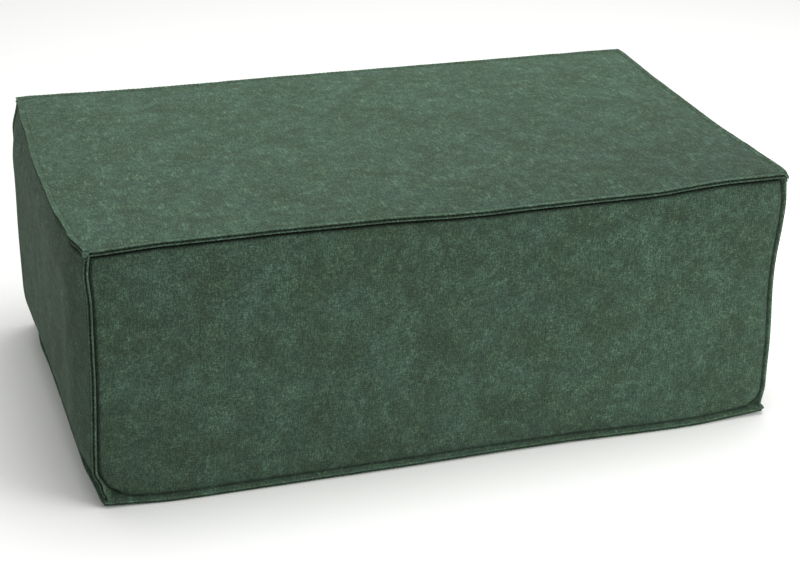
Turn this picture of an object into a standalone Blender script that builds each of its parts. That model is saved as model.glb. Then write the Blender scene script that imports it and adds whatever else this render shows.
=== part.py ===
"""Box footstool covered in brushed green cloth: one filled body with standing seams.

The body is a firm, filled box with crowned panels whose edges draw in at every seam.
Each seam stands proud as a flange of the cover's own turned edges: one ring round the
top, one round the base, and one up each corner.  Metres, +Z up.  The origin is on the
floor under the middle of the body; +X runs along the width and -Y is the long front.
"""
from math import cos, hypot, radians, sin

import bmesh
import bpy
from mathutils import Vector

# Overall sizes, from seam rim to seam rim.
WIDTH = 1.100
DEPTH = 0.646
HEIGHT = 0.418

# The standing seam: how far it stands off the body, how thick it is, and how it points.
TOP_FLANGE_REACH = 0.0080
TOP_FLANGE_RISE = radians(3.0)
BASE_FLANGE_REACH = 0.0110
BASE_FLANGE_RISE = radians(-28.0)
CORNER_FLANGE_REACH = 0.0070
FLANGE_THICKNESS = 0.0060
LIP_CHAMFER = 0.0012
LIP_CREST = 0.55  # share of the half thickness at which each lip is highest
LIP_GROOVE = 0.0018
EAR = 0.0020  # how much further a ring stands out at each corner
PIECE_GAP = 0.0012

# A corner flange stops short of the rings, with its ends cut to their slopes.
LOW_END_CLEAR = 0.0060
LOW_END_DROP = 0.0045
TOP_END_CLEAR = 0.0062
TOP_END_RISE = 0.0010

# How high the base seam's stitch line runs above the floor.
BASE_SEAM_LIFT = 0.0090

# The panels roll in to their seams.  Each row gives a distance from the seam, and how far
# the panel stands outside the stitch line there.
ROLL = (
    # distance, stand
    (0.000, 0.0000),
    (0.003, 0.0002),
    (0.008, 0.0040),
    (0.018, 0.0056),
    (0.045, 0.0062),
)

# The top panel lies almost level with its seam.
TOP_ROLL = (
    # distance, stand
    (0.000, 0.0000),
    (0.003, 0.0006),
    (0.008, 0.0026),
    (0.018, 0.0033),
    (0.045, 0.0036),
)

# The upright panels leave the base seam more steeply, since its flange points lower.
LOW_ROLL = (
    # distance, stand
    (0.000, 0.0000),
    (0.003, 0.0012),
    (0.008, 0.0038),
    (0.018, 0.0052),
    (0.045, 0.0062),
)

# The base panel runs flat on the floor and turns up to the base seam.
BASE_ROLL = (
    # distance, stand
    (0.000, 0.0000),
    (0.003, 0.0038),
    (0.008, 0.0062),
    (0.018, 0.0083),
    (0.030, 0.0090),
)

# Each panel's crown: its rise, the width of the shoulder over which it fills out from a
# seam, and how much fuller it is towards the top than towards the base.
CROWNS = {
    # panel: (rise, shoulder, lean)
    "top": (0.0012, 0.160, 0.0),
    "base": (0.0000, 0.160, 0.0),
    "front": (0.0070, 0.150, 0.0),
    "back": (0.0080, 0.140, 0.1),
    "left": (0.0190, 0.085, 0.10),
    "right": (0.0120, 0.100, 0.3),
}

# The corners draw in: how far each corner point moves inwards, and over what length.
CORNER_TUCK = 0.0045
CORNER_REACH = 0.045

# Where each seam wanders off its straight line.  Shares run from the left (-X) to the
# right, from the front (-Y) to the back, or from the base to the top.
TOP_FRONT_DRIFT = (
    # share, outward, up
    (0.00, 0.0000, -0.0040),
    (0.08, 0.0000, -0.0040),
    (0.25, 0.0000, -0.0020),
    (0.42, 0.0010, -0.0010),
    (0.58, 0.0030, -0.0030),
    (0.78, 0.0020, -0.0030),
    (0.92, 0.0000, 0.0025),
    (1.00, 0.0000, 0.0025),
)
TOP_BACK_DRIFT = (
    # share, outward, up
    (0.00, 0.0000, 0.0000),
    (0.20, -0.0010, -0.0015),
    (0.45, 0.0000, 0.0005),
    (0.70, 0.0010, -0.0010),
    (1.00, 0.0000, 0.0000),
)
TOP_LEFT_DRIFT = (
    # share, outward, up
    (0.00, 0.0000, -0.0030),
    (0.10, 0.0130, -0.0030),
    (0.25, 0.0200, -0.0015),
    (0.50, 0.0190, -0.0010),
    (0.80, 0.0100, 0.0000),
    (1.00, 0.0000, 0.0000),
)
TOP_RIGHT_DRIFT = (
    # share, outward, up
    (0.00, 0.0000, 0.0000),
    (0.12, 0.0040, 0.0020),
    (0.40, 0.0000, -0.0010),
    (0.75, -0.0010, -0.0010),
    (1.00, 0.0000, 0.0000),
)
BASE_FRONT_DRIFT = (
    # share, outward, up
    (0.00, 0.0000, -0.0010),
    (0.12, 0.0070, -0.0010),
    (0.40, 0.0070, 0.0000),
    (0.65, 0.0040, 0.0005),
    (0.86, 0.0090, -0.0005),
    (1.00, 0.0020, 0.0000),
)
BASE_BACK_DRIFT = (
    # share, outward, up
    (0.00, 0.0000, 0.0030),
    (0.30, 0.0060, 0.0000),
    (0.70, 0.0070, 0.0010),
    (1.00, 0.0000, 0.0030),
)
BASE_LEFT_DRIFT = (
    # share, outward, up
    (0.00, 0.0000, 0.0020),
    (0.15, -0.0050, 0.0020),
    (0.70, -0.0085, 0.0010),
    (1.00, -0.0040, 0.0030),
)
BASE_RIGHT_DRIFT = (
    # share, outward, up
    (0.00, 0.0000, 0.0030),
    (0.30, 0.0040, 0.0010),
    (0.70, 0.0050, 0.0000),
    (1.00, 0.0000, 0.0030),
)
BACK_LEFT_DRIFT = (
    # share, across X, across Y (both outward)
    (0.00, -0.0100, 0.0000),
    (0.25, 0.0030, 0.0000),
    (0.60, 0.0100, 0.0000),
    (0.88, 0.0110, 0.0000),
    (1.00, 0.0020, 0.0000),
)
FRONT_LEFT_DRIFT = (
    # share, across X, across Y (both outward)
    (0.00, -0.0110, 0.0000),
    (0.06, -0.0040, 0.0010),
    (0.13, 0.0060, 0.0020),
    (0.50, 0.0040, 0.0020),
    (0.78, 0.0085, 0.0010),
    (0.92, 0.0130, 0.0000),
    (1.00, 0.0040, 0.0000),
)
RIGHT_SIDE_DRIFT = (
    # share, across X, across Y (both outward)
    (0.00, 0.0010, 0.0000),
    (0.10, 0.0040, 0.0020),
    (0.25, 0.0030, 0.0030),
    (0.60, -0.0035, 0.0010),
    (0.88, 0.0030, 0.0020),
    (1.00, 0.0010, 0.0000),
)
DRIFT_REACH = 0.110

# Rings of mesh next to every seam, and the largest step between them and the middle.
SEAM_RINGS = (0.003, 0.008, 0.018, 0.030, 0.045)
LONGEST_STEP = 0.085
CUT_MERGE = 0.00001
ON_PANEL = 0.000001
SHARP_ANGLE = radians(50.0)

CLOTH_COLOUR = (0.055, 0.103, 0.072, 1.0)
CLOTH_ROUGHNESS = 0.92

# The box of stitch lines, inside the seam rims.
ROOT_X = WIDTH / 2 - TOP_FLANGE_REACH * cos(TOP_FLANGE_RISE)
ROOT_Y = DEPTH / 2 - TOP_FLANGE_REACH * cos(TOP_FLANGE_RISE)
ROOT_TOP = HEIGHT - TOP_FLANGE_REACH * sin(TOP_FLANGE_RISE)
ROOT_LOW = Vector((-ROOT_X, -ROOT_Y, BASE_SEAM_LIFT))
ROOT_HIGH = Vector((ROOT_X, ROOT_Y, ROOT_TOP))


def clear_scene():
    """Remove whatever objects the file opened with."""
    for item in list(bpy.data.objects):
        bpy.data.objects.remove(item, do_unlink=True)


def smooth(share):
    """Return a share from 0 to 1 eased at both ends."""
    share = max(0.0, min(1.0, share))
    return share * share * (3.0 - 2.0 * share)


def eased(rows, place):
    """Return a table's values at a place, eased from row to row."""
    for low, high in zip(rows, rows[1:]):
        if place <= high[0]:
            part = smooth((place - low[0]) / (high[0] - low[0]))
            return [a + (b - a) * part for a, b in zip(low[1:], high[1:])]
    return list(rows[-1][1:])


def straight(rows, place):
    """Return a two-column table's value at a place, straight from row to row."""
    for low, high in zip(rows, rows[1:]):
        if place <= high[0]:
            part = (place - low[0]) / (high[0] - low[0])
            return low[1] + (high[1] - low[1]) * part
    return rows[-1][1]


def seams():
    """List the seams: the axis each runs along, its two sides, and its drift table."""
    return (
        # axis, side of X, side of Y, side of Z, drift
        (0, 0, -1, 1, TOP_FRONT_DRIFT),
        (0, 0, 1, 1, TOP_BACK_DRIFT),
        (0, 0, -1, -1, BASE_FRONT_DRIFT),
        (0, 0, 1, -1, BASE_BACK_DRIFT),
        (1, -1, 0, 1, TOP_LEFT_DRIFT),
        (1, 1, 0, 1, TOP_RIGHT_DRIFT),
        (1, -1, 0, -1, BASE_LEFT_DRIFT),
        (1, 1, 0, -1, BASE_RIGHT_DRIFT),
        (2, -1, -1, 0, FRONT_LEFT_DRIFT),
        (2, -1, 1, 0, BACK_LEFT_DRIFT),
        (2, 1, -1, 0, RIGHT_SIDE_DRIFT),
        (2, 1, 1, 0, RIGHT_SIDE_DRIFT),
    )


def edge_of(side, axis):
    """Return where the box of stitch lines ends on one side of an axis."""
    return ROOT_HIGH[axis] if side > 0 else ROOT_LOW[axis]


def drift(point):
    """Return how far the seams near a point of the box carry it."""
    shift = Vector((0.0, 0.0, 0.0))
    for axis, *sides, rows in seams():
        across = [other for other in range(3) if other != axis]
        away = hypot(*[point[i] - edge_of(sides[i], i) for i in across])
        if away >= DRIFT_REACH:
            continue
        share = (point[axis] - ROOT_LOW[axis]) / (ROOT_HIGH[axis] - ROOT_LOW[axis])
        amounts = eased(rows, share)
        fade = 1.0 - smooth(away / DRIFT_REACH)
        for i, amount in zip(across, amounts):
            outward = 1 if i == 2 else sides[i]
            shift[i] += outward * amount * fade
    return shift


def tuck(point):
    """Return how far the nearest corner draws a point of the box inwards."""
    signs = [1 if point[i] > (ROOT_LOW[i] + ROOT_HIGH[i]) / 2 else -1 for i in range(3)]
    corner = Vector([edge_of(signs[i], i) for i in range(3)])
    away = (point - corner).length
    if away >= CORNER_REACH:
        return Vector((0.0, 0.0, 0.0))
    amount = CORNER_TUCK * (1.0 - away / CORNER_REACH) ** 2
    return Vector([-sign * amount for sign in signs])


def settle_root(point):
    """Return where a point of the plain box lies once the seams wander and tuck in."""
    return point + drift(point) + tuck(point)


def fill_out(point, axis):
    """Return how far a panel square to an axis stands outside its stitch lines."""
    across = [other for other in range(3) if other != axis]
    low_side = point[axis] < (ROOT_LOW[axis] + ROOT_HIGH[axis]) / 2
    panel_rows = ROLL
    if axis == 2:
        panel_rows = BASE_ROLL if low_side else TOP_ROLL
    names = (("left", "right"), ("front", "back"), ("base", "top"))[axis]
    crown, shoulder, lean = CROWNS[names[0] if low_side else names[1]]
    crown *= 1.0 + lean * (2.0 * (point.z - ROOT_LOW.z) / (ROOT_HIGH.z - ROOT_LOW.z) - 1.0)
    stand = panel_rows[-1][1]
    for i in across:
        middle = (ROOT_LOW[i] + ROOT_HIGH[i]) / 2
        half = (ROOT_HIGH[i] - ROOT_LOW[i]) / 2
        inside = max(0.0, half - abs(point[i] - middle))
        rows = LOW_ROLL if i == 2 and point[i] < middle else panel_rows
        stand *= straight(rows, inside) / rows[-1][1]
        crown *= smooth(inside / shoulder)
    return stand + crown


def settle(point):
    """Return where a point of the plain box lies on the filled body."""
    place = settle_root(point)
    for axis in range(3):
        if abs(point[axis] - ROOT_LOW[axis]) < ON_PANEL:
            place[axis] -= fill_out(point, axis)
        elif abs(point[axis] - ROOT_HIGH[axis]) < ON_PANEL:
            place[axis] += fill_out(point, axis)
    place.z = max(0.0, place.z)
    return place


def grid_lines(axis):
    """Return the places across an axis where the mesh is cut, seams included."""
    low, high = ROOT_LOW[axis], ROOT_HIGH[axis]
    inner = (high - low) - 2 * SEAM_RINGS[-1]
    steps = max(1, round(inner / LONGEST_STEP))
    middle = [low + SEAM_RINGS[-1] + inner * i / steps for i in range(1, steps)]
    first = [low + ring for ring in SEAM_RINGS]
    last = [high - ring for ring in reversed(SEAM_RINGS)]
    return [low] + first + middle + last + [high]


def cloth_material():
    """Return the brushed green cloth."""
    cloth = bpy.data.materials.new("brushed_green_cloth")
    cloth.use_nodes = True
    shader = cloth.node_tree.nodes["Principled BSDF"]
    shader.inputs["Base Color"].default_value = CLOTH_COLOUR
    shader.inputs["Roughness"].default_value = CLOTH_ROUGHNESS
    shader.inputs["Metallic"].default_value = 0.0
    return cloth


def add_piece(name, mesh_maker, cloth):
    """Make one named object from a finished bmesh."""
    bmesh.ops.recalc_face_normals(mesh_maker, faces=mesh_maker.faces)
    mesh = bpy.data.meshes.new(name)
    mesh_maker.to_mesh(mesh)
    mesh_maker.free()
    mesh.materials.append(cloth)
    mesh.shade_smooth()
    mesh.set_sharp_from_angle(angle=SHARP_ANGLE)
    piece = bpy.data.objects.new(name, mesh)
    bpy.context.scene.collection.objects.link(piece)
    return piece


def make_body(cloth):
    """Build the filled body: a cut-up box whose points settle onto the crowned form."""
    shape = bmesh.new()
    bmesh.ops.create_cube(shape, size=1.0)
    span = ROOT_HIGH - ROOT_LOW
    bmesh.ops.scale(shape, vec=span, verts=shape.verts)
    bmesh.ops.translate(shape, vec=(ROOT_LOW + ROOT_HIGH) / 2, verts=shape.verts)
    for axis in range(3):
        square_to = Vector([1.0 if i == axis else 0.0 for i in range(3)])
        for line in grid_lines(axis)[1:-1]:
            everything = list(shape.verts) + list(shape.edges) + list(shape.faces)
            bmesh.ops.bisect_plane(
                shape,
                geom=everything,
                dist=CUT_MERGE,
                plane_co=square_to * line,
                plane_no=square_to,
            )
    for vertex in shape.verts:
        vertex.co = settle(vertex.co.copy())
    return add_piece("filled_body", shape, cloth)


def flange_section(root, rim, across):
    """Return the outline of a standing seam: two turned lips with a groove between."""
    stand = rim - root
    out = stand.normalized()
    half = across * (FLANGE_THICKNESS / 2)
    start = root + out * PIECE_GAP
    shoulder = rim - out * LIP_CHAMFER
    return (
        start - half,
        shoulder - half,
        rim - half * LIP_CREST,
        rim - out * LIP_GROOVE,
        rim + half * LIP_CREST,
        shoulder + half,
        start + half,
    )


def loft(name, sections, closed, cloth):
    """Extrude the first section through all the others, then cap it or close the ring."""
    shape = bmesh.new()
    first = [shape.verts.new(point) for point in sections[0]]
    outline = [shape.edges.new(pair) for pair in zip(first, first[1:] + first[:1])]
    if not closed:
        shape.faces.new(first)
    edges = outline
    for section in sections[1:]:
        made = bmesh.ops.extrude_edge_only(shape, edges=edges)["geom"]
        edges = [item for item in made if isinstance(item, bmesh.types.BMEdge) and item.is_boundary]
        corners = [item for item in made if isinstance(item, bmesh.types.BMVert)]
        for vertex, point in zip(corners, section):
            vertex.co = point
    if closed:
        bmesh.ops.bridge_loops(shape, edges=edges + outline)
    else:
        bmesh.ops.holes_fill(shape, edges=edges, sides=0)
    return add_piece(name, shape, cloth)


def ring_stops(level):
    """List a ring's stations: plain stitch point, its sides, and the way along."""
    stops = []
    rows_x, rows_y = grid_lines(0), grid_lines(1)
    runs = (
        # points along the run, side square to it, way along
        ([(x, -ROOT_Y) for x in rows_x], (0, -1), (1, 0)),
        ([(ROOT_X, y) for y in rows_y], (1, 0), (0, 1)),
        ([(x, ROOT_Y) for x in reversed(rows_x)], (0, 1), (-1, 0)),
        ([(-ROOT_X, y) for y in reversed(rows_y)], (-1, 0), (0, -1)),
    )
    for number, (points, side, along) in enumerate(runs):
        before_side, before_along = runs[number - 1][1:]
        corner_side = (side[0] + before_side[0], side[1] + before_side[1])
        corner_along = (along[0] + before_along[0], along[1] + before_along[1])
        stops.append((Vector((*points[0], level)), corner_side, corner_along))
        stops += [(Vector((*point, level)), side, along) for point in points[1:-1]]
    return stops


def ring_section(point, side, along, reach, rise):
    """Return a ring's section at one station."""
    root = settle_root(point)
    outward = Vector((side[0] * cos(rise), side[1] * cos(rise), sin(rise)))
    at_corner = side[0] != 0 and side[1] != 0
    spread = Vector((point.x / ROOT_X, point.y / ROOT_Y, 0.0)) * (reach * cos(rise))
    rim = point + drift(point) + spread
    rim.z += reach * sin(rise)
    if at_corner:
        rim += outward.normalized() * EAR
    across = Vector((*along, 0.0)).cross(outward).normalized()
    return flange_section(root, rim, across)


def make_ring(name, level, reach, rise, cloth):
    """Build one standing seam right round the body."""
    sections = [ring_section(*stop, reach, rise) for stop in ring_stops(level)]
    return loft(name, sections, True, cloth)


def corner_section(side_x, side_y, z, slope):
    """Return a corner seam's section; slope lifts its outer edge at a cut end."""
    point = Vector((side_x * ROOT_X, side_y * ROOT_Y, z))
    root = settle_root(point)
    outward = Vector((side_x, side_y, 0.0)).normalized()
    rim = point + drift(point) + outward * CORNER_FLANGE_REACH
    rim.z += slope
    across = Vector((0.0, 0.0, 1.0)).cross(outward)
    return flange_section(root, rim, across)


def make_corner_seam(name, side_x, side_y, cloth):
    """Build one standing seam up a corner, cut to fit between the two rings."""
    lines = grid_lines(2)
    first, last = 3, -3  # the grid lines between the two cut ends
    sections = [corner_section(side_x, side_y, ROOT_LOW.z + LOW_END_CLEAR, -LOW_END_DROP)]
    sections += [corner_section(side_x, side_y, z, 0.0) for z in lines[first:last]]
    sections.append(corner_section(side_x, side_y, ROOT_HIGH.z - TOP_END_CLEAR, TOP_END_RISE))
    return loft(name, sections, False, cloth)


def main():
    """Build the footstool."""
    clear_scene()
    cloth = cloth_material()
    make_body(cloth)
    make_ring("top_seam_flange", ROOT_TOP, TOP_FLANGE_REACH, TOP_FLANGE_RISE, cloth)
    make_ring("base_seam_flange", BASE_SEAM_LIFT, BASE_FLANGE_REACH, BASE_FLANGE_RISE, cloth)
    make_corner_seam("corner_flange_front_left", -1, -1, cloth)
    make_corner_seam("corner_flange_front_right", 1, -1, cloth)
    make_corner_seam("corner_flange_back_left", -1, 1, cloth)
    make_corner_seam("corner_flange_back_right", 1, 1, cloth)


main()
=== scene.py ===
import logging
from dataclasses import dataclass, field, replace
from enum import Enum
from math import cos, exp, hypot, pi, radians, sin, tanh

import bmesh
import bpy
from mathutils import Matrix, Vector, noise


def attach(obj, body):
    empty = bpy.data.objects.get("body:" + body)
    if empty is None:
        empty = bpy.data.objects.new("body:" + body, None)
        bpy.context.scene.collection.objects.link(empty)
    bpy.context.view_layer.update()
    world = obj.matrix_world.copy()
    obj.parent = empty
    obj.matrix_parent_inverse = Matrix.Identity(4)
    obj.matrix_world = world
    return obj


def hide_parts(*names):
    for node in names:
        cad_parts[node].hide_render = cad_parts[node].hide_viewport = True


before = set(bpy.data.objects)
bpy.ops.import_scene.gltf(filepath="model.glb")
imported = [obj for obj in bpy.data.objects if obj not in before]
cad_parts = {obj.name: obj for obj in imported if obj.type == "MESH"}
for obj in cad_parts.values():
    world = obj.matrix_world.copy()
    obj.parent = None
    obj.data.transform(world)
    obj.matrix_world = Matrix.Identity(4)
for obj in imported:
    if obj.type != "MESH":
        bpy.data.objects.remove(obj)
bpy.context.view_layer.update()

LOG = logging.getLogger("footstool")
MM = 0.001
# name of the mesh attribute that holds painted light and shade: how much lighter or darker the
# colour is
PAINTED_LIGHT = "painted_light"
Row = tuple[float, ...]
Rows = tuple[Row, ...]


class Ripple(Enum):
    """What each use of the soft noise shapes, and the seed that sets it apart."""

    RIM = 2.0
    GATHER_PATCHES = 3.0
    LUMPS = 5.0
    SWAY = 7.0
    DRAPES = 8.0
    GATHERS = 11.0
    LIPS = 20.0


def smooth(share: float) -> float:
    """Return a share from 0 to 1 eased at both ends."""
    share = max(0.0, min(1.0, share))
    return share * share * (3.0 - 2.0 * share)


def eased(rows: Rows, place: float) -> list[float]:
    """Read a table at a place, eased from row to row.

    Args:
        rows: Rows whose first column is the place and the rest are values.
        place: Where to read the table.

    Returns:
        The values there.
    """
    for low, high in zip(rows, rows[1:]):
        if place <= high[0]:
            part = smooth((place - low[0]) / (high[0] - low[0]))
            return [a + (b - a) * part for a, b in zip(low[1:], high[1:])]
    return list(rows[-1][1:])


def straight(rows: Rows, place: float) -> float:
    """Read a two-column table at a place, straight from row to row.

    Args:
        rows: Rows of a place and a value.
        place: Where to read the table.

    Returns:
        The value there.
    """
    for low, high in zip(rows, rows[1:]):
        if place <= high[0]:
            part = (place - low[0]) / (high[0] - low[0])
            return low[1] + (high[1] - low[1]) * part
    return rows[-1][1]


def ripple(point: Vector, length: float, kind: Ripple, shift: float = 0.0) -> float:
    """Return soft noise from -1 to 1 at a point, with ripples of one length."""
    seed = kind.value + shift
    return noise.noise(point / length + Vector((seed, seed * 1.7, -seed)))


def add_grid(
    shape: bmesh.types.BMesh, rows: int, columns: int
) -> list[tuple[bmesh.types.BMVert, int, int]]:
    """Add a flat grid, for its vertices to be moved into place.

    Args:
        shape: The bmesh to add to.
        rows: How many squares it has along its first side.
        columns: How many squares it has along its second side.

    Returns:
        Each vertex with its row and its column.
    """
    made = bmesh.ops.create_grid(shape, x_segments=rows, y_segments=columns, size=0.5)["verts"]
    return [(v, round((v.co.x + 0.5) * rows), round((v.co.y + 0.5) * columns)) for v in made]


def add_object(name: str, shape: bmesh.types.BMesh, cloth: bpy.types.Material) -> bpy.types.Object:
    """Make a named, smooth object from a finished bmesh.

    Args:
        name: The piece's name.
        shape: Its closed mesh, which is freed here.
        cloth: Its material.

    Returns:
        The new object, at the origin.
    """
    bmesh.ops.recalc_face_normals(shape, faces=shape.faces)
    mesh = bpy.data.meshes.new(name)
    shape.to_mesh(mesh)
    shape.free()
    mesh.materials.append(cloth)
    mesh.shade_smooth()
    piece = bpy.data.objects.new(name, mesh)
    bpy.context.scene.collection.objects.link(piece)
    return piece


def report(piece: bpy.types.Object) -> None:
    """Log a finished piece's name, size and number of faces."""
    size = " x ".join(f"{length / MM:.1f}" for length in piece.dimensions)
    LOG.info("%s: %s mm, %d faces", piece.name, size, len(piece.data.polygons))


class Corner(Enum):
    """The upright corners, each as its side of X and its side of Y."""

    FRONT_LEFT = (-1, -1)
    FRONT_RIGHT = (1, -1)
    BACK_LEFT = (-1, 1)
    BACK_RIGHT = (1, 1)


@dataclass(frozen=True)
class SeamRun:
    """One seam: the axis it runs along, the sides of the box it joins, and its wander."""

    axis: int
    sides: tuple[int, int, int]
    wander: Rows


# How each seam strays from a straight line: the share of its length from the left, front or
# low end, then how far it lies outwards and up, or outwards along X and Y if it is upright.
TOP_FRONT: Rows = (
    (0.00, 0.0000, -0.0015),
    (0.08, 0.0000, -0.0005),
    (0.25, 0.0000, 0.0002),
    (0.38, 0.0010, -0.0004),
    (0.53, 0.0025, -0.0045),
    (0.62, 0.0030, -0.0033),
    (0.78, 0.0020, -0.0032),
    (0.92, 0.0000, 0.0035),
    (1.00, 0.0000, 0.0030),
)
TOP_BACK: Rows = (
    (0.00, 0.0000, 0.0000),
    (0.20, -0.0010, -0.0025),
    (0.45, 0.0000, -0.0015),
    (0.70, 0.0010, -0.0020),
    (1.00, 0.0000, -0.0010),
)
TOP_LEFT: Rows = (
    (0.00, 0.0000, -0.0030),
    (0.10, 0.0130, -0.0030),
    (0.25, 0.0200, -0.0015),
    (0.50, 0.0190, -0.0010),
    (0.80, 0.0100, 0.0000),
    (1.00, 0.0000, 0.0000),
)
TOP_RIGHT: Rows = (
    (0.00, 0.0000, 0.0000),
    (0.12, 0.0015, 0.0000),
    (0.40, -0.0040, -0.0015),
    (0.75, -0.0035, -0.0015),
    (1.00, -0.0010, 0.0000),
)
BASE_FRONT: Rows = (
    (0.00, 0.0000, -0.0010),
    (0.12, 0.0070, -0.0010),
    (0.40, 0.0070, 0.0000),
    (0.65, 0.0040, 0.0005),
    (0.86, 0.0090, -0.0005),
    (1.00, 0.0020, 0.0000),
)
BASE_BACK: Rows = (
    (0.00, 0.0000, 0.0030),
    (0.30, 0.0060, 0.0000),
    (0.70, 0.0070, 0.0010),
    (1.00, 0.0000, 0.0030),
)
BASE_LEFT: Rows = (
    (0.00, 0.0000, 0.0020),
    (0.15, -0.0050, 0.0020),
    (0.70, -0.0085, 0.0010),
    (1.00, -0.0040, 0.0030),
)
BASE_RIGHT: Rows = (
    (0.00, 0.0000, 0.0030),
    (0.30, 0.0040, 0.0010),
    (0.70, 0.0050, 0.0000),
    (1.00, 0.0000, 0.0030),
)
BACK_LEFT: Rows = (
    (0.00, -0.0100, 0.0000),
    (0.25, 0.0030, 0.0000),
    (0.60, 0.0100, 0.0000),
    (0.88, 0.0110, 0.0000),
    (1.00, 0.0020, 0.0000),
)
FRONT_LEFT: Rows = (
    (0.00, -0.0110, 0.0000),
    (0.06, -0.0040, 0.0010),
    (0.13, 0.0060, 0.0020),
    (0.50, 0.0028, 0.0020),
    (0.78, 0.0030, 0.0010),
    (0.92, 0.0062, 0.0000),
    (1.00, 0.0030, 0.0000),
)
RIGHT_SIDE: Rows = (
    (0.00, 0.0015, 0.0000),
    (0.10, 0.0050, 0.0020),
    (0.25, 0.0042, 0.0030),
    (0.60, -0.0018, 0.0010),
    (0.88, 0.0040, 0.0020),
    (1.00, 0.0010, 0.0000),
)


@dataclass
class StitchBox:
    """The box of stitch lines that every panel and every standing seam is sewn to."""

    width: float = 1.100
    depth: float = 0.646
    height: float = 0.418
    # how high the base seam's stitch line runs, then how far the two rings' rims stand off
    # and how steeply they rise
    base_lift: float = 0.0090
    top_reach: float = 0.0080
    top_rise: float = radians(3.0)
    base_reach: float = 0.0110
    base_rise: float = radians(-28.0)
    # how far from a seam its wander still moves the panels
    wander_reach: float = 0.110
    # side of X, side of Y, side of Z: how far that corner point draws in, each way
    tucks: dict[tuple[int, int, int], float] = field(
        default_factory=lambda: {
            (-1, -1, 1): 0.0030,
            (1, -1, 1): 0.0065,
            (-1, 1, 1): 0.0045,
            (1, 1, 1): 0.0050,
            (-1, -1, -1): 0.0110,
            (1, -1, -1): 0.0080,
            (-1, 1, -1): 0.0070,
            (1, 1, -1): 0.0070,
        }
    )
    # A tuck four times as long as it is deep rounds the corner without a kink.
    tuck_length: float = 4.0
    # how far a top corner sinks, as a share of how far it draws in
    tuck_sink: float = 0.25
    runs: tuple[SeamRun, ...] = (
        SeamRun(0, (0, -1, 1), TOP_FRONT),
        SeamRun(0, (0, 1, 1), TOP_BACK),
        SeamRun(0, (0, -1, -1), BASE_FRONT),
        SeamRun(0, (0, 1, -1), BASE_BACK),
        SeamRun(1, (-1, 0, 1), TOP_LEFT),
        SeamRun(1, (1, 0, 1), TOP_RIGHT),
        SeamRun(1, (-1, 0, -1), BASE_LEFT),
        SeamRun(1, (1, 0, -1), BASE_RIGHT),
        SeamRun(2, (-1, -1, 0), FRONT_LEFT),
        SeamRun(2, (-1, 1, 0), BACK_LEFT),
        SeamRun(2, (1, -1, 0), RIGHT_SIDE),
        SeamRun(2, (1, 1, 0), RIGHT_SIDE),
    )

    def __post_init__(self) -> None:
        """Work out the box's two far corners."""
        inset = self.top_reach * cos(self.top_rise)
        x, y = self.width / 2 - inset, self.depth / 2 - inset
        self.low = Vector((-x, -y, self.base_lift))
        self.high = Vector((x, y, self.height - self.top_reach * sin(self.top_rise)))
        self.middle = (self.low + self.high) / 2

    def edge(self, side: int, axis: int) -> float:
        """Return where the box ends on one side of an axis."""
        return self.high[axis] if side > 0 else self.low[axis]

    def wander(self, point: Vector) -> Vector:
        """Work out how far the seams near a point carry it.

        Args:
            point: A point of the plain box.

        Returns:
            The shift.
        """
        shift = Vector((0.0, 0.0, 0.0))
        for run in self.runs:
            across = [other for other in range(3) if other != run.axis]
            away = hypot(*[point[i] - self.edge(run.sides[i], i) for i in across])
            if away >= self.wander_reach:
                continue
            span = self.high[run.axis] - self.low[run.axis]
            amounts = eased(run.wander, (point[run.axis] - self.low[run.axis]) / span)
            fade = 1.0 - smooth(away / self.wander_reach)
            for i, amount in zip(across, amounts):
                outward = 1 if i == 2 else run.sides[i]
                shift[i] += outward * amount * fade
        return shift

    def inset(self, point: Vector, axis: int) -> float:
        """Return how far inside the box's nearer end a point is along an axis."""
        return (self.high[axis] - self.low[axis]) / 2 - abs(point[axis] - self.middle[axis])

    def tuck(self, point: Vector) -> Vector:
        """Work out how far the nearest corner draws a point inwards.

        Args:
            point: A point of the plain box.

        Returns:
            The shift.
        """
        signs = tuple(1 if point[i] > self.middle[i] else -1 for i in range(3))
        corner = Vector([self.edge(signs[i], i) for i in range(3)])
        deepest = self.tucks[signs]
        share = (point - corner).length / (deepest * self.tuck_length)
        amount = deepest * max(0.0, 1.0 - share) ** 2
        sink = self.tuck_sink if signs[2] > 0 else 1.0
        return Vector((-signs[0] * amount, -signs[1] * amount, -signs[2] * amount * sink))

    def sewn(self, point: Vector) -> Vector:
        """Return where a point of the plain box lies once the seams wander and tuck in."""
        return point + self.wander(point) + self.tuck(point)


@dataclass(frozen=True)
class Crown:
    """How one panel fills out between its seams.

    It rises over its shoulder, the strip along each seam, and a leaning one rises more
    towards the top.
    """

    rise: float
    shoulder: float
    lean: float = 0.0


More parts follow.
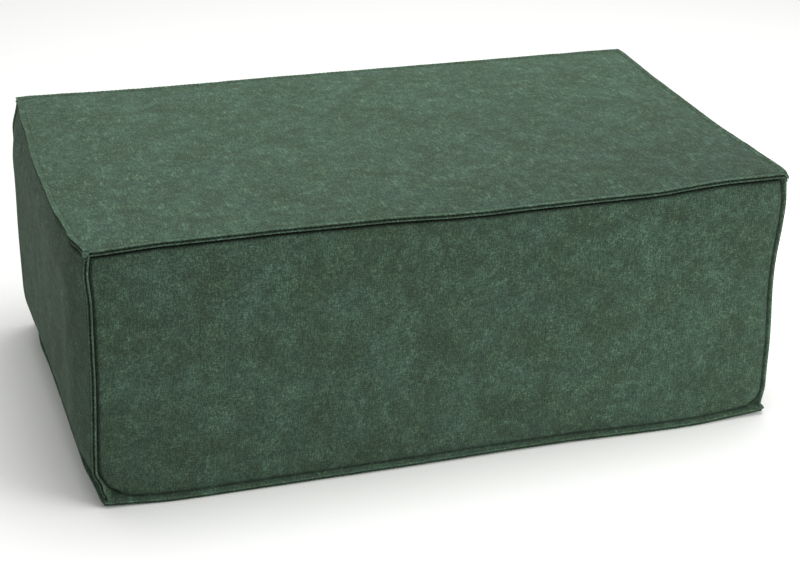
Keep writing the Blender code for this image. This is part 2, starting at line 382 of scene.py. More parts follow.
@dataclass
class FilledBody:
    """The six panels, sewn tight over one firm filling."""

    box: StitchBox
    cloth: bpy.types.Material
    # rings of the grid beside every seam, where the panels turn sharply
    fine_rings: Row = (0.0022, 0.0040, 0.0060, 0.0078, 0.0096, 0.0125, 0.0180, 0.0260, 0.0380)
    longest_step: float = 0.0135
    side_roll: Rows = (
        # distance from a corner seam, how far an upright panel stands outside it
        (0.0000, 0.0000),
        (0.0022, 0.0004),
        (0.0038, 0.0022),
        (0.0052, 0.0039),
        (0.0070, 0.0049),
        (0.0100, 0.0055),
        (0.0180, 0.0059),
        (0.0450, 0.0062),
    )
    under_roll: Rows = (
        # distance below the top seam, stand of an upright panel
        (0.0000, 0.0000),
        (0.0038, 0.0004),
        (0.0062, 0.0012),
        (0.0078, 0.0030),
        (0.0094, 0.0048),
        (0.0120, 0.0056),
        (0.0200, 0.0061),
        (0.0450, 0.0062),
    )
    low_roll: Rows = (
        # distance from the base seam, stand of an upright panel
        (0.0000, 0.0000),
        (0.0022, 0.0005),
        (0.0052, 0.0028),
        (0.0080, 0.0042),
        (0.0130, 0.0052),
        (0.0200, 0.0057),
        (0.0450, 0.0062),
    )
    top_roll: Rows = (
        # distance from the top seam, stand of the top panel
        (0.0000, 0.0016),
        (0.0022, 0.0029),
        (0.0060, 0.0034),
        (0.0140, 0.0035),
        (0.0450, 0.0036),
    )
    base_roll: Rows = (
        # distance from the base seam, stand of the base panel
        (0.000, 0.0000),
        (0.003, 0.0038),
        (0.008, 0.0062),
        (0.018, 0.0083),
        (0.030, 0.0090),
    )
    # left and right, front and back, base and top
    crowns: tuple[tuple[Crown, Crown], ...] = (
        (Crown(0.0175, 0.085, 0.05), Crown(0.0105, 0.100, 0.3)),
        (Crown(0.0055, 0.150), Crown(0.0065, 0.140, 0.1)),
        (Crown(0.0000, 0.160), Crown(0.0010, 0.160)),
    )
    # Painted light and shade, as how much lighter each of the left, right, front, back, base and
    # top panel is at its corners: low-low, high-low, low-high and high-high along its other two
    # axes.
    painted_panel_light: tuple[tuple[Row, Row], ...] = (
        ((-0.22, -0.10, -0.18, 0.00), (0.00, 0.00, 0.00, 0.00)),
        ((-0.10, 0.12, -0.05, -0.02), (0.00, 0.00, 0.00, 0.00)),
        ((0.00, 0.00, 0.00, 0.00), (0.02, -0.28, 0.10, 0.13)),
    )
    # Painted shade down in the folds beside the seams: where each fold's painted shade begins
    # to fade, where it ends, and how dark it is.
    top_painted_shade: Row = (0.0078, 0.0108, -0.90)
    corner_painted_shade: Row = (0.0045, 0.0085, -0.50)
    base_painted_shade: Row = (0.0040, 0.0080, -0.30)
    # painted light and shade along the soft upright folds down the two ends
    drape_painted_light: float = 0.16
    # how the cloth is blown out: frames of it, its pressure, its spare length, the strip that
    # the seams hold, and how far it may move once it is clear of them
    frames: int = 20
    pressure: float = 4.0
    slack: float = 0.004
    held_strip: float = 0.006
    swell_limit: float = 0.0030
    swell_shoulder: float = 0.060
    # gathers that run in from a seam: their spacing along it, where they start, how far in
    # they reach, how far they keep from its ends, their height, and the patches they come in
    gather_step: float = 0.016
    gather_start: float = 0.005
    gather_reach: float = 0.055
    gather_ends: float = 0.030
    gather_height: float = 0.0028
    gather_patch: float = 0.160
    gather_share: float = 0.30
    # soft upright folds down the two ends
    drape_width: float = 0.040
    drape_stretch: float = 6.0
    drape_height: float = 0.0010
    drape_start: float = 0.030
    # unevenness of the filling
    lump_length: float = 0.110
    lump_height: float = 0.0010
    lump_start: float = 0.050

    def lines(self, axis: int) -> list[float]:
        """List the places along an axis where the panels' grid lines cross it.

        Args:
            axis: The axis.

        Returns:
            The places, from seam to seam.
        """
        low, high = self.box.low[axis], self.box.high[axis]
        inner = (high - low) - 2 * self.fine_rings[-1]
        steps = max(1, round(inner / self.longest_step))
        middle = [low + self.fine_rings[-1] + inner * i / steps for i in range(1, steps)]
        first = [low + ring for ring in self.fine_rings]
        last = [high - ring for ring in reversed(self.fine_rings)]
        return [low] + first + middle + last + [high]

    def panel(self, shape: bmesh.types.BMesh, axis: int, side: int) -> None:
        """Add one flat panel's grid to the box.

        Args:
            shape: The bmesh to add to.
            axis: The axis that the panel is square to.
            side: Which end of that axis it is on, 1 or -1.
        """
        first, second = (axis + 1) % 3, (axis + 2) % 3
        rows, columns = self.lines(first), self.lines(second)
        for vertex, row, column in add_grid(shape, len(rows) - 1, len(columns) - 1):
            place = Vector((0.0, 0.0, 0.0))
            place[axis] = self.box.edge(side, axis)
            place[first] = rows[row]
            place[second] = columns[column]
            vertex.co = place

    def fill(self, point: Vector, axis: int) -> float:
        """Work out how far a panel stands outside its stitch lines.

        Args:
            point: A point of the plain box, on that panel.
            axis: The axis that the panel is square to.

        Returns:
            How far it stands out there.
        """
        box = self.box
        low_side = point[axis] < box.middle[axis]
        own_roll = self.side_roll
        if axis == 2:
            own_roll = self.base_roll if low_side else self.top_roll
        crown = self.crowns[axis][0 if low_side else 1]
        height = (point.z - box.middle.z) / (box.high.z - box.middle.z)
        rise = crown.rise * (1.0 + crown.lean * height)
        stand = own_roll[-1][1]
        for i in range(3):
            if i == axis:
                continue
            inside = max(0.0, box.inset(point, i))
            rows = own_roll
            if i == 2:
                rows = self.low_roll if point[i] < box.middle[i] else self.under_roll
            stand *= straight(rows, inside) / rows[-1][1]
            rise *= smooth(inside / crown.shoulder)
        return stand + rise

    def settle(self, point: Vector) -> Vector:
        """Work out where a point lies on the filled body.

        Args:
            point: A point of the plain box.

        Returns:
            Its place.
        """
        place = self.box.sewn(point)
        for axis in range(3):
            if point[axis] == self.box.low[axis]:
                place[axis] -= self.fill(point, axis)
            elif point[axis] == self.box.high[axis]:
                place[axis] += self.fill(point, axis)
        place.z = max(0.0, place.z)
        return place

    def inside_seams(self, point: Vector) -> float:
        """Return how far a point of the plain box is from the nearest seam."""
        return max(0.0, sorted(self.box.inset(point, i) for i in range(3))[1])

    def swell(self, piece: bpy.types.Object, plain: list[Vector]) -> None:
        """Let air pressure settle the cloth over its filling, then hold it near its place.

        Args:
            piece: The body, whose cloth moves.
            plain: Each vertex's point on the plain box.
        """
        mesh = piece.data
        start = [vertex.co.copy() for vertex in mesh.vertices]
        pins = piece.vertex_groups.new(name="sewn")
        for number, point in enumerate(plain):
            if self.inside_seams(point) < self.held_strip or point.z == self.box.low.z:
                pins.add([number], 1.0, "REPLACE")
        cloth = piece.modifiers.new("cover", "CLOTH")
        settings = cloth.settings
        settings.quality = 4
        settings.mass = 0.3
        settings.tension_stiffness = 25.0
        settings.compression_stiffness = 25.0
        settings.shear_stiffness = 8.0
        settings.bending_stiffness = 0.4
        settings.shrink_min = -self.slack
        settings.use_pressure = True
        settings.uniform_pressure_force = self.pressure
        settings.vertex_group_mass = pins.name
        settings.effector_weights.gravity = 0.0
        cloth.point_cache.frame_end = self.frames
        scene = bpy.context.scene
        for number in range(1, self.frames + 1):
            scene.frame_set(number)
        shaped = piece.evaluated_get(bpy.context.evaluated_depsgraph_get()).to_mesh()
        settled = [vertex.co.copy() for vertex in shaped.vertices]
        piece.evaluated_get(bpy.context.evaluated_depsgraph_get()).to_mesh_clear()
        piece.modifiers.remove(cloth)
        piece.vertex_groups.remove(pins)
        scene.frame_set(1)
        for vertex, before, after, point in zip(mesh.vertices, start, settled, plain):
            moved = after - before
            limit = self.swell_limit * smooth(self.inside_seams(point) / self.swell_shoulder)
            if moved.length > 0.0 and limit > 0.0:
                vertex.co = before + moved * (limit * tanh(moved.length / limit) / moved.length)

    def gathers(self, point: Vector, axis: int) -> float:
        """Work out how high the gathers beside a panel's seams stand at a point.

        Args:
            point: A point of the plain box, on that panel.
            axis: The axis that the panel is square to.

        Returns:
            Their height there.
        """
        box = self.box
        height = 0.0
        for across in range(3):
            if across == axis:
                continue
            run = 3 - axis - across
            inside = box.inset(point, across)
            # Each seam of each panel has gathers of its own.
            seed = 5.0 * axis + 9.0 * (point[axis] > box.middle[axis])
            seed += 13.0 * across + 17.0 * (point[across] > box.middle[across])
            place = Vector((point[run] / self.gather_step, inside / self.gather_reach, seed))
            fade = smooth(inside / self.gather_start)
            fade *= 1.0 - smooth(inside / self.gather_reach)
            fade *= smooth(box.inset(point, run) / self.gather_ends)
            height += ripple(place, 1.0, Ripple.GATHERS) * fade
        return height * self.gather_height

    def drape(self, point: Vector) -> float:
        """Return from -1 to 1 how high the soft upright folds stand at a point."""
        flattened = Vector((point.x, point.y, point.z / self.drape_stretch))
        return ripple(flattened, self.drape_width, Ripple.DRAPES)

    def pucker(self, piece: bpy.types.Object, plain: list[Vector]) -> None:
        """Add the gathers beside the seams and the soft unevenness of the filling.

        Args:
            piece: The body.
            plain: Each vertex's point on the plain box.
        """
        box = self.box
        span = box.high - box.low
        mesh = piece.data
        normals = [vertex.normal.copy() for vertex in mesh.vertices]
        for vertex, normal, point in zip(mesh.vertices, normals, plain):
            inside = self.inside_seams(point)
            if point.z == box.low.z or inside < 0.5 * MM:
                continue
            outermost = [abs(point[i] - box.middle[i]) / span[i] for i in range(3)]
            axis = outermost.index(max(outermost))
            patch = ripple(point, self.gather_patch, Ripple.GATHER_PATCHES)
            height = self.gathers(point, axis) * max(0.0, patch + self.gather_share)
            lump = ripple(point, self.lump_length, Ripple.LUMPS)
            height += self.lump_height * lump * smooth(inside / self.lump_start)
            if axis == 0:
                height += self.drape_height * self.drape(point) * smooth(inside / self.drape_start)
            vertex.co += normal * height

    def painted_fold_shade(self, point: Vector, axis: int) -> float:
        """Work out how much painted shade darkens an upright panel in the folds beside the seams.

        Args:
            point: A point of the plain box, on that panel.
            axis: The axis that the panel is square to.

        Returns:
            The shade, 0 or less.
        """
        box = self.box
        shade = 0.0
        for inside, (full, gone, dark) in (
            (box.high.z - point.z, self.top_painted_shade),
            (box.inset(point, 1 - axis), self.corner_painted_shade),
            (point.z - box.low.z, self.base_painted_shade),
        ):
            shade = min(shade, dark * (1.0 - smooth((inside - full) / (gone - full))))
        return shade

    def lay_painted_light(self, mesh: bpy.types.Mesh, plain: list[Vector]) -> None:
        """Record the painted light and shade all over the panels.

        Args:
            mesh: The body's mesh.
            plain: Each vertex's point on the plain box.
        """
        box = self.box
        span = box.high - box.low
        shade = mesh.attributes.new(PAINTED_LIGHT, "FLOAT", "CORNER")
        for face in mesh.polygons:
            places = [plain[vertex] for vertex in face.vertices]
            spread = [max(p[i] for p in places) - min(p[i] for p in places) for i in range(3)]
            axis = spread.index(min(spread))
            first, second = [i for i in range(3) if i != axis]
            corners = self.painted_panel_light[axis][0 if places[0][axis] < box.middle[axis] else 1]
            for corner, place in zip(face.loop_indices, places):
                s = (place[first] - box.low[first]) / span[first]
                t = (place[second] - box.low[second]) / span[second]
                low = corners[0] + (corners[1] - corners[0]) * s
                high = corners[2] + (corners[3] - corners[2]) * s
                value = low + (high - low) * t
                # painted light and shade along the soft upright folds of the two ends
                if axis == 0:
                    value += self.drape_painted_light * self.drape(place)
                # painted shade in the folds beside the seams
                if axis != 2:
                    value += self.painted_fold_shade(place, axis)
                shade.data[corner].value = value

    def build(self) -> bpy.types.Object:
        """Sew the panels together, fill them and finish the mesh.

        Returns:
            The body.
        """
        shape = bmesh.new()
        for axis in range(3):
            self.panel(shape, axis, -1)
            self.panel(shape, axis, 1)
        bmesh.ops.remove_doubles(shape, verts=shape.verts, dist=0.2 * MM)
        plain = [vertex.co.copy() for vertex in shape.verts]
        for vertex in shape.verts:
            vertex.co = self.settle(vertex.co.copy())
        body = add_object("footstool_body", shape, self.cloth)
        self.lay_painted_light(body.data, plain)
        self.swell(body, plain)
        self.pucker(body, plain)
        finer = body.modifiers.new("finer", "SUBSURF")
        finer.levels = 1
        finer.render_levels = 1
        return body


@dataclass
class StandingSeam:
    """A seam sewn outside the box: two turned lips with a stitched valley between them."""

    box: StitchBox
    cloth: bpy.types.Material
    # from the stitch line to the rim, how far the root runs in, and the stations' spacing
    reach: float = 0.0083
    buried: float = 0.0015
    station: float = 0.00180
    # the stitches' spacing along the seam, and how wide a strip each one pinches
    stitch: float = 0.0075
    stitch_width: float = 0.0017
    # share of the way from the stitch line to the lips, half thickness
    web: Rows = ((0.0, 0.0024), (0.5, 0.0029), (0.9, 0.0034))
    # back from the rim, half thickness, and the painted light there, how much lighter it is
    # (below 0 painted shade): each lip's outer side, its crest with a painted highlight, and its
    # inner side down in the valley with painted shade
    lip: Rows = (
        (0.0032, 0.0037, 0.05),
        (0.0022, 0.0041, 0.15),
        (0.0012, 0.0041, 0.30),
        (0.0003, 0.0037, 0.40),
        (0.0000, 0.0030, 0.40),
        (0.0003, 0.0022, 0.10),
        (0.0010, 0.0016, -0.30),
        (0.0022, 0.0011, -0.55),
        (0.0034, 0.0007, -0.65),
    )
    # how far back from the rim the web ends and the lips begin
    lip_depth: float = 0.0044
    # scales the whole seam's thickness
    slim: float = 1.0
    # what a stitch takes off the lips' thickness and their height, how much of the valley's
    # depth it fills, and how far from the middle the valley reaches
    pinch: float = 0.10
    notch: float = 0.0002
    stitch_fill: float = 0.50
    valley: float = 0.0018
    # how uneven the lips are, how far the rim sways and how far its reach varies, each with
    # the length of its ripples
    unevenness: float = 0.07
    uneven_length: float = 0.014
    sway: float = 0.0004
    sway_length: float = 0.024
    wobble: float = 0.0003
    wobble_length: float = 0.045
    # how much of the corners' tuck the rim follows
    follow: float = 0.25
    # how much painted light lightens the whole seam
    painted_lightening: float = 0.0

    def half_outline(self) -> list[tuple[float, float, float, float]]:
        """List one side of the section: share of the web, back from the rim, half, painted light.

        A row of the web has -1 for how far back it is.
        """
        rows = [(share, -1.0, half, self.painted_lightening) for share, half in self.web]
        return rows + [(1.0, back, half, light + self.painted_lightening) for back, half, light in self.lip]

    def section(self, root: Vector, rim: Vector, across: Vector, run: float) -> list[Vector]:
        """Work out the seam's section at one station.

        Args:
            root: The stitch line there.
            rim: The outer edge there.
            across: About the way square to the seam's web.
            run: How far along the seam the station is.

        Returns:
            The outline's points, from one root corner round the lips to the other.
        """
        out = (rim - root).normalized()
        across = (across - out * across.dot(out)).normalized()
        swayed = across * (self.sway * ripple(rim, self.sway_length, Ripple.SWAY))
        wobbled = out * (self.wobble * ripple(rim, self.wobble_length, Ripple.RIM))
        rim = rim + wobbled + swayed
        start = root - out * self.buried
        lips = rim - out * self.lip_depth
        beat = (run / self.stitch) % 1.0 - 0.5
        pinched = exp(-((beat * self.stitch / self.stitch_width) ** 2))
        thin = self.slim * (1.0 - self.pinch * pinched)
        points = []
        for side in (1, -1):
            lift = 1.0 + self.unevenness * ripple(rim, self.uneven_length, Ripple.LIPS, side)
            half_points = []
            for share, back, half, _ in self.half_outline():
                if back < 0.0:
                    place = start + (lips - start) * share
                    width = half * self.slim
                else:
                    if half < self.valley and back > 0.0:
                        back *= 1.0 - self.stitch_fill * pinched
                    place = rim - out * (back * (2.0 - lift) + self.notch * pinched)
                    width = half * thin * lift
                half_points.append(place + across * (side * width))
            points += half_points if side > 0 else list(reversed(half_points))
        return points

    def loft(self, name: str, sections: list[list[Vector]], closed: bool) -> bpy.types.Object:
        """Skin a run of sections into one closed piece.

        Args:
            name: The piece's name.
            sections: Outlines with the same number of points.
            closed: True for a ring, False for a seam with two capped ends.

        Returns:
            The finished object.
        """
        shape = bmesh.new()
        # painted light and shade of each vertex, from the outline's rows
        painted_light = shape.verts.layers.float.new(PAINTED_LIGHT)
        half_painted_light = [light for *_, light in self.half_outline()]
        lights = half_painted_light + half_painted_light[::-1]
        around = len(sections[0])
        rows = sections + [sections[0]] if closed else sections
        for vertex, row, column in add_grid(shape, len(rows) - 1, around):
            vertex.co = rows[row][column % around]
            vertex[painted_light] = lights[column % around]
        bmesh.ops.remove_doubles(shape, verts=shape.verts, dist=0.02 * MM)
        if not closed:
            ends = [edge for edge in shape.edges if edge.is_boundary]
            bmesh.ops.holes_fill(shape, edges=ends, sides=0)
        return add_object(name, shape, self.cloth)


@dataclass
class RingSeam(StandingSeam):
    """The standing seam right round the top or the base."""

    name: str = "top_seam"
    level: float = 0.0
    rise: float = 0.0
    # how squarely the rim turns at a corner (2 would be round), and the ear that it has there
    squareness: float = 5.0
    ear: float = 0.0010
    # how much lower than the rest of the rim the two front ears hang
    droop: float = 0.0
    corner_stations: int = 12

    def stops(self) -> list[tuple[Vector, Vector, float]]:
        """List the ring's stations, fanned round each corner.

        Returns:
            Each one's plain stitch point, level way out, and the rim's level reach.
        """
        x, y = self.box.high.x, self.box.high.y
        reach = self.reach * cos(self.rise)
        corners = ((-x, -y), (x, -y), (x, y), (-x, y))
        ways = ((1, 0), (0, 1), (-1, 0), (0, -1))
        found = []
        for number, way in enumerate(ways):
            start = Vector((*corners[number], self.level))
            along = Vector((*way, 0.0))
            side = Vector((way[1], -way[0], 0.0))
            for step in range(self.corner_stations):
                turn = pi / 2 * step / self.corner_stations
                outward = side * sin(turn) - along * cos(turn)
                square = sin(turn) ** self.squareness + cos(turn) ** self.squareness
                far = reach / square ** (1.0 / self.squareness) + self.ear * sin(2 * turn) ** 2
                found.append((start, outward, far))
            length = 2 * (x if way[0] else y)
            steps = round(length / self.station)
            found += [(start + along * (length * i / steps), side, reach) for i in range(steps)]
        return found

    def at(self, point: Vector, outward: Vector, reach: float, run: float) -> list[Vector]:
        """Work out the section at one station of the ring.

        Args:
            point: The plain stitch point.
            outward: The level way out.
            reach: How far out the rim is.
            run: How far along the ring the station is.

        Returns:
            The outline's points.
        """
        rim = point + self.box.wander(point) + self.box.tuck(point) * self.follow
        rim += outward * reach
        # 1 at the middle of a front corner, 0 along the straight runs and at the back
        hang = max(0.0, -2.0 * abs(outward.x) * outward.y)
        rim.z += self.reach * sin(self.rise) - self.droop * hang
        along = Vector((-outward.y, outward.x, 0.0))
        slope = Vector((outward.x * cos(self.rise), outward.y * cos(self.rise), sin(self.rise)))
        across = along.cross(slope).normalized()
        return self.section(self.box.sewn(point), rim, across, run)

    def build(self) -> bpy.types.Object:
        """Make the ring."""
        sections = [self.at(p, outward, reach, p.x + p.y) for p, outward, reach in self.stops()]
        return self.loft(self.name, sections, True)


@dataclass
class CornerSeam(StandingSeam):
    """The standing seam up one corner, whose ends run in under the two rings."""

    corner: Corner = Corner.FRONT_LEFT
    overlap: float = 0.0010
    # how far the seam leans round the corner, against the clock as seen from above
    lean: float = 0.0

    def build(self) -> bpy.types.Object:
        """Make the corner seam.

        Returns:
            The finished seam.
        """
        side_x, side_y = self.corner.value
        outward = Vector((side_x, side_y, 0.0)).normalized()
        outward.rotate(Matrix.Rotation(self.lean, 3, "Z"))
        across = Vector((0.0, 0.0, 1.0)).cross(outward)
        low = self.box.low.z + self.overlap
        high = self.box.high.z - self.overlap
        steps = round((high - low) / self.station)
        sections = []
        for step in range(steps + 1):
            z = low + (high - low) * step / steps
            point = Vector((side_x * self.box.high.x, side_y * self.box.high.y, z))
            rim = point + self.box.wander(point) + self.box.tuck(point) * self.follow
            rim += outward * self.reach
            sections.append(self.section(self.box.sewn(point), rim, across, step * self.station))
        return self.loft(f"corner_seam_{self.corner.name.lower()}", sections, False)


def to_linear(colour: str) -> tuple[float, float, float, float]:
    """Turn an sRGB colour into a linear one.

    Args:
        colour: Red, green and blue in hex, such as #42594a.

    Returns:
        Linear red, green, blue and alpha.
    """
    shares = [int(colour[i : i + 2], 16) / 255 for i in (1, 3, 5)]
    linear = [s / 12.92 if s <= 0.04045 else ((s + 0.055) / 1.055) ** 2.4 for s in shares]
    return (*linear, 1.0)


def add_node(
    tree: bpy.types.NodeTree,
    kind: str,
    settings: dict[str, object] | None = None,
    links: dict[str | int, object] | None = None,
) -> bpy.types.Node:
    """Add a node with its settings and its inputs.

    Args:
        tree: The node tree to add to.
        kind: The node's type name.
        settings: Properties of the node itself.
        links: What each input takes, a socket to link or a plain value.

    Returns:
        The new node.
    """
    node = tree.nodes.new(kind)
    for name, value in (settings or {}).items():
        setattr(node, name, value)
    for name, value in (links or {}).items():
        if isinstance(value, bpy.types.NodeSocket):
            tree.links.new(value, node.inputs[name])
        else:
            node.inputs[name].default_value = value
    return node


@dataclass(frozen=True)
class BrushedChenille:
    """Brushed polyester chenille: short soft pile on a plain weave, washed and crushed.

    It looks matt and mottled.  The pile lies in different ways from patch to patch, so some
    patches are a little lighter, with short crushed streaks across them, and the fine weave
    shows through everywhere as a cross-hatch.
    """

    cool: str = "#3c5042"
    warm: str = "#3c4f3e"
    # where in the patches the warm dye gives way to the cool one
    dye_change: Row = (0.36, 0.64)
    roughness: float = 0.95
    specular: float = 0.2
    # The raised fibres catch a faint grey-green sheen.
    sheen: float = 0.10
    sheen_roughness: float = 0.45
    sheen_tint: str = "#a9b8ac"
    patch_mm: float = 70.0
    blotch_mm: float = 20.0
    mottle_mm: float = 7.0
    # Real tufts are about 0.5 mm; drawn 1.9 mm wide, or they would not show.
    tuft_mm: float = 1.9
    # Real threads are about 0.6 mm apart; drawn 1.7 mm apart, or they would not show.
    thread_mm: float = 1.7
    thread_run_mm: float = 9.0
    thread_weights: Row = (0.70, 1.00, 0.90)
    # The crushed streaks run from the front to the back.
    streak_mm: float = 3.6
    streak_run_mm: float = 24.0
    # Only the tops of the streaks are crushed, and only in the lighter blotches: where the
    # streaks and the blotches begin to count and count fully, and the level they rise from.
    streak_tops: Row = (0.50, 0.74)
    streak_blotches: Row = (0.42, 0.62)
    streak_level: float = 0.40
    # how strongly each cloud of the pile shows
    patch_weight: float = 0.60
    blotch_weight: float = 0.75
    mottle_weight: float = 0.60
    tuft_weight: float = 2.0
    streak_weight: float = 0.70
    lightness: float = 0.97
    # No tuft is darker than the gaps between the threads; the change to them is soft.
    gap_light: float = 0.60
    gap_softness: float = 0.20
    grain: float = 0.6
    # The threads and tufts stand up by a millimetre at most.
    relief_mm: float = 1.0
    relief_strength: float = 0.7
    thread_relief: float = 0.8

    def cloud(
        self,
        tree: bpy.types.NodeTree,
        place: bpy.types.NodeSocket,
        size: tuple[float, float, float],
        detail: float,
    ) -> bpy.types.NodeSocket:
        """Add soft noise whose features have a real size.

        Args:
            tree: The material's node tree.
            place: The coordinates to read.
            size: The features' size along X, Y and Z, in millimetres.
            detail: How many finer layers it has.

        Returns:
            The noise's value.
        """
        scale = tuple(1.0 / (length * MM) for length in size)
        scaled = add_node(tree, "ShaderNodeMapping", links={"Vector": place, "Scale": scale})
        links = {"Vector": scaled.outputs["Vector"], "Scale": 1.0, "Detail": detail}
        links["Roughness"] = self.grain
        return add_node(tree, "ShaderNodeTexNoise", links=links).outputs["Fac"]

    def sum_of(
        self,
        tree: bpy.types.NodeTree,
        parts: list[tuple[bpy.types.NodeSocket, float]],
        start: float,
    ) -> bpy.types.NodeSocket:
        """Add up values, each about 0.5, by their weights.

        Args:
            tree: The material's node tree.
            parts: Values and their weights.
            start: What the sum comes to where every value is 0.5.

        Returns:
            The sum.
        """
        running: object = start - sum(weight for _, weight in parts) * 0.5
        for value, weight in parts:
            node = add_node(
                tree,
                "ShaderNodeMath",
                {"operation": "MULTIPLY_ADD"},
                {0: value, 1: weight, 2: running},
            )
            running = node.outputs[0]
        return running

    def share_of(
        self, tree: bpy.types.NodeTree, value: bpy.types.NodeSocket, ends: Row
    ) -> bpy.types.NodeSocket:
        """Turn a value into a share from 0 to 1, eased at both ends.

        Args:
            tree: The material's node tree.
            value: The value.
            ends: Where the share is 0 and where it is 1.

        Returns:
            The share.
        """
        links = {"Value": value, "From Min": ends[0], "From Max": ends[1]}
        curve = {"interpolation_type": "SMOOTHSTEP"}
        return add_node(tree, "ShaderNodeMapRange", curve, links).outputs["Result"]

    def material(self) -> bpy.types.Material:
        """Make the cloth's material.

        Returns:
            The material.
        """
        made = bpy.data.materials.new("brushed_chenille")
        made.use_nodes = True
        tree = made.node_tree
        shader = tree.nodes["Principled BSDF"]
        place = add_node(tree, "ShaderNodeTexCoord").outputs["Object"]
        across, run = self.thread_mm, self.thread_run_mm
        patches = self.cloud(tree, place, (self.patch_mm,) * 3, 2.0)
        blotches = self.cloud(tree, place, (self.blotch_mm,) * 3, 2.0)
        mottle = self.cloud(tree, place, (self.mottle_mm,) * 3, 1.0)
        tufts = self.cloud(tree, place, (self.tuft_mm,) * 3, 1.0)
        threads = [
            self.cloud(tree, place, size, 0.0)
            for size in ((run, across, across), (across, run, across), (across, across, run))
        ]
        size = (self.streak_mm, self.streak_run_mm, self.streak_mm)
        streaks = self.cloud(tree, place, size, 1.0)
        # the painted light and shade laid on the meshes
        painted_light = add_node(tree, "ShaderNodeAttribute", {"attribute_name": PAINTED_LIGHT}).outputs["Fac"]
        tint = add_node(tree, "ShaderNodeValToRGB", links={"Fac": patches})
        dyes = (self.warm, self.cool)
        for stop, position, dye in zip(tint.color_ramp.elements, self.dye_change, dyes):
            stop.position = position
            stop.color = to_linear(dye)
        # The lightest streaks are where the pile is crushed flat and shines.
        crushed = self.share_of(tree, streaks, self.streak_tops)
        where = self.share_of(tree, blotches, self.streak_blotches)
        links = {0: crushed, 1: where, 2: self.streak_level}
        marks = add_node(tree, "ShaderNodeMath", {"operation": "MULTIPLY_ADD"}, links).outputs[0]
        parts = [(patches, self.patch_weight), (blotches, self.blotch_weight)]
        parts += [(mottle, self.mottle_weight), (tufts, self.tuft_weight)]
        parts += [(marks, self.streak_weight), *zip(threads, self.thread_weights)]
        light = self.sum_of(tree, parts, self.lightness)
        links = {0: light, 1: self.gap_light, 2: self.gap_softness}
        lifted = add_node(tree, "ShaderNodeMath", {"operation": "SMOOTH_MAX"}, links).outputs[0]
        # The painted light and shade scale the colour.
        links = {0: lifted, 1: painted_light, 2: lifted}
        shaded = add_node(tree, "ShaderNodeMath", {"operation": "MULTIPLY_ADD"}, links)
        colour = add_node(
            tree,
            "ShaderNodeVectorMath",
            {"operation": "SCALE"},
            {"Vector": tint.outputs["Color"], "Scale": shaded.outputs[0]},
        )
        tree.links.new(colour.outputs[0], shader.inputs["Base Color"])
        raised = [(tufts, 1.0)] + [(thread, self.thread_relief) for thread in threads]
        links = {"Strength": self.relief_strength, "Distance": self.relief_mm * MM}
        links["Height"] = self.sum_of(tree, raised, 0.5)
        bump = add_node(tree, "ShaderNodeBump", links=links)
        tree.links.new(bump.outputs["Normal"], shader.inputs["Normal"])
        shader.inputs["Roughness"].default_value = self.roughness
        shader.inputs["Sheen Weight"].default_value = self.sheen
        shader.inputs["Sheen Roughness"].default_value = self.sheen_roughness
        shader.inputs["Sheen Tint"].default_value = to_linear(self.sheen_tint)
        shader.inputs["Specular IOR Level"].default_value = self.specular
        return made


@dataclass(frozen=True)
class SoftLight:
    """One square soft light: where it hangs, the length of its side, and its watts."""

    name: str
    place: Row
    size: float
    power: float


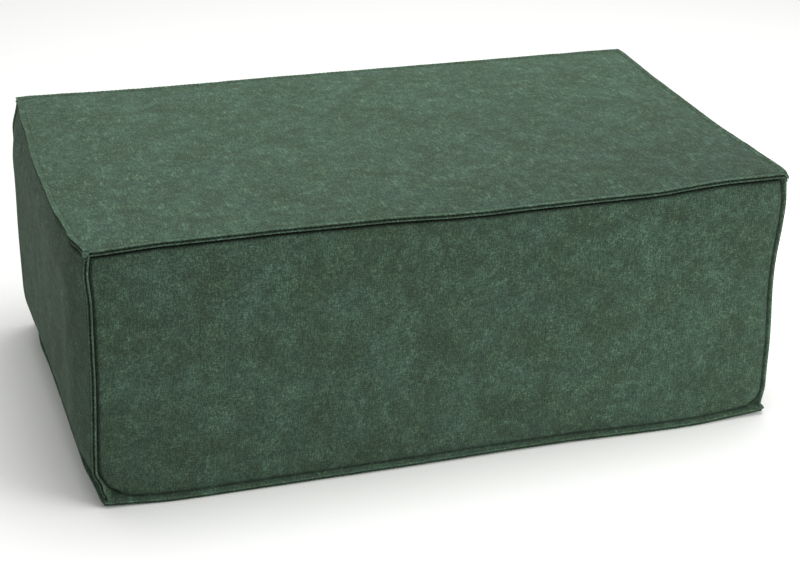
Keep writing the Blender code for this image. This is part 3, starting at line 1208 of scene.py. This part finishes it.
@dataclass
class Studio:
    """The plain pale floor, the soft lights and the camera."""

    azimuth: float = radians(-19.212)
    elevation: float = radians(25.103)
    roll: float = radians(1.762)
    lens: float = 88.01
    sensor: float = 36.0
    target: Vector = field(default_factory=lambda: Vector((0.0, 0.0, 0.2)))
    # how far the target lies right of and above the middle of the view, and how far away
    offset: Vector = field(default_factory=lambda: Vector((-0.0235, 0.0427, -3.2456)))
    floor_size: float = 40.0
    # Matt floor paint, which shows no gloss under the footstool.
    floor_colour: str = "#f4f4f2"
    floor_roughness: float = 0.9
    sky: float = 0.52
    lights: tuple[SoftLight, ...] = (
        SoftLight("overhead_light", (0.3, 0.2, 3.2), 2.6, 95.0),
        SoftLight("front_right_light", (2.6, -2.6, 1.8), 2.0, 75.0),
    )

    def camera(self) -> None:
        """Place the camera."""
        a, e = self.azimuth, self.elevation
        back = Vector((sin(a) * cos(e), -cos(a) * cos(e), sin(e)))
        right = Vector((0.0, 0.0, 1.0)).cross(back).normalized()
        up = back.cross(right)
        c, s = cos(self.roll), sin(self.roll)
        turn = Matrix((right * c + up * s, up * c - right * s, back))
        data = bpy.data.cameras.new("camera")
        data.lens = self.lens
        data.sensor_width = self.sensor
        data.sensor_fit = "HORIZONTAL"
        data.clip_end = 100.0
        camera = bpy.data.objects.new("camera", data)
        place = self.target - turn.transposed() @ self.offset
        camera.matrix_world = Matrix.Translation(place) @ turn.transposed().to_4x4()
        bpy.context.scene.collection.objects.link(camera)
        bpy.context.scene.camera = camera

    def floor(self) -> None:
        """Lay the pale floor."""
        shape = bmesh.new()
        bmesh.ops.create_grid(shape, x_segments=1, y_segments=1, size=self.floor_size / 2)
        paint = bpy.data.materials.new("pale_floor")
        paint.use_nodes = True
        shader = paint.node_tree.nodes["Principled BSDF"]
        shader.inputs["Base Color"].default_value = to_linear(self.floor_colour)
        shader.inputs["Roughness"].default_value = self.floor_roughness
        floor = add_object("floor", shape, paint)

    def hang(self, kind: SoftLight) -> None:
        """Hang one soft light that faces the footstool.

        Args:
            kind: The light.
        """
        data = bpy.data.lights.new(kind.name, "AREA")
        data.size = kind.size
        data.energy = kind.power
        light = bpy.data.objects.new(kind.name, data)
        place = Vector(kind.place)
        facing = (place - self.target).to_track_quat("Z", "Y").to_matrix().to_4x4()
        light.matrix_world = Matrix.Translation(place) @ facing
        bpy.context.scene.collection.objects.link(light)

    def build(self) -> None:
        """Set up the studio."""
        self.camera()
        self.floor()
        for kind in self.lights:
            self.hang(kind)
        world = bpy.data.worlds.new("studio")
        world.use_nodes = True
        background = world.node_tree.nodes["Background"]
        background.inputs["Color"].default_value = (1.0, 1.0, 1.0, 1.0)
        background.inputs["Strength"].default_value = self.sky
        bpy.context.scene.world = world
        bpy.context.scene.view_settings.view_transform = "Standard"


def dress(piece: bpy.types.Object, *nodes: str) -> None:
    """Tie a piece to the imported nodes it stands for, and log it.

    Args:
        piece: The finished piece.
        nodes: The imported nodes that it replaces.
    """
    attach(piece, "root")
    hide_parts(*nodes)
    report(piece)


def main() -> None:
    """Build the footstool and its studio."""
    logging.basicConfig(level=logging.INFO, format="%(name)s: %(message)s")
    Studio().build()
    cloth = BrushedChenille().material()
    box = StitchBox()
    body = FilledBody(box, cloth).build()
    dress(body, "filled_body")
    top = RingSeam(
        box,
        cloth,
        reach=box.top_reach,
        name="top_seam",
        level=box.high.z,
        rise=box.top_rise,
        droop=0.0075,
    )
    dress(top.build(), "top_seam_flange")
    base = RingSeam(
        box,
        cloth,
        reach=box.base_reach,
        follow=0.1,
        name="base_seam",
        level=box.low.z,
        rise=box.base_rise,
        squareness=4.5,
        ear=0.0,
    )
    dress(base.build(), "base_seam_flange")
    for corner in Corner:
        seam = CornerSeam(box, cloth, reach=0.0062, slim=0.95, follow=0.0, corner=corner)
        if corner in (Corner.FRONT_RIGHT, Corner.BACK_RIGHT):
            # the right corner seams are thinner and get painted light
            seam = replace(seam, reach=0.0052, slim=0.80, painted_lightening=0.25)
        if corner is Corner.FRONT_LEFT:
            seam = replace(seam, lean=radians(14.0))
        dress(seam.build(), f"corner_flange_{corner.name.lower()}")


if __name__ == "__main__":
    main()
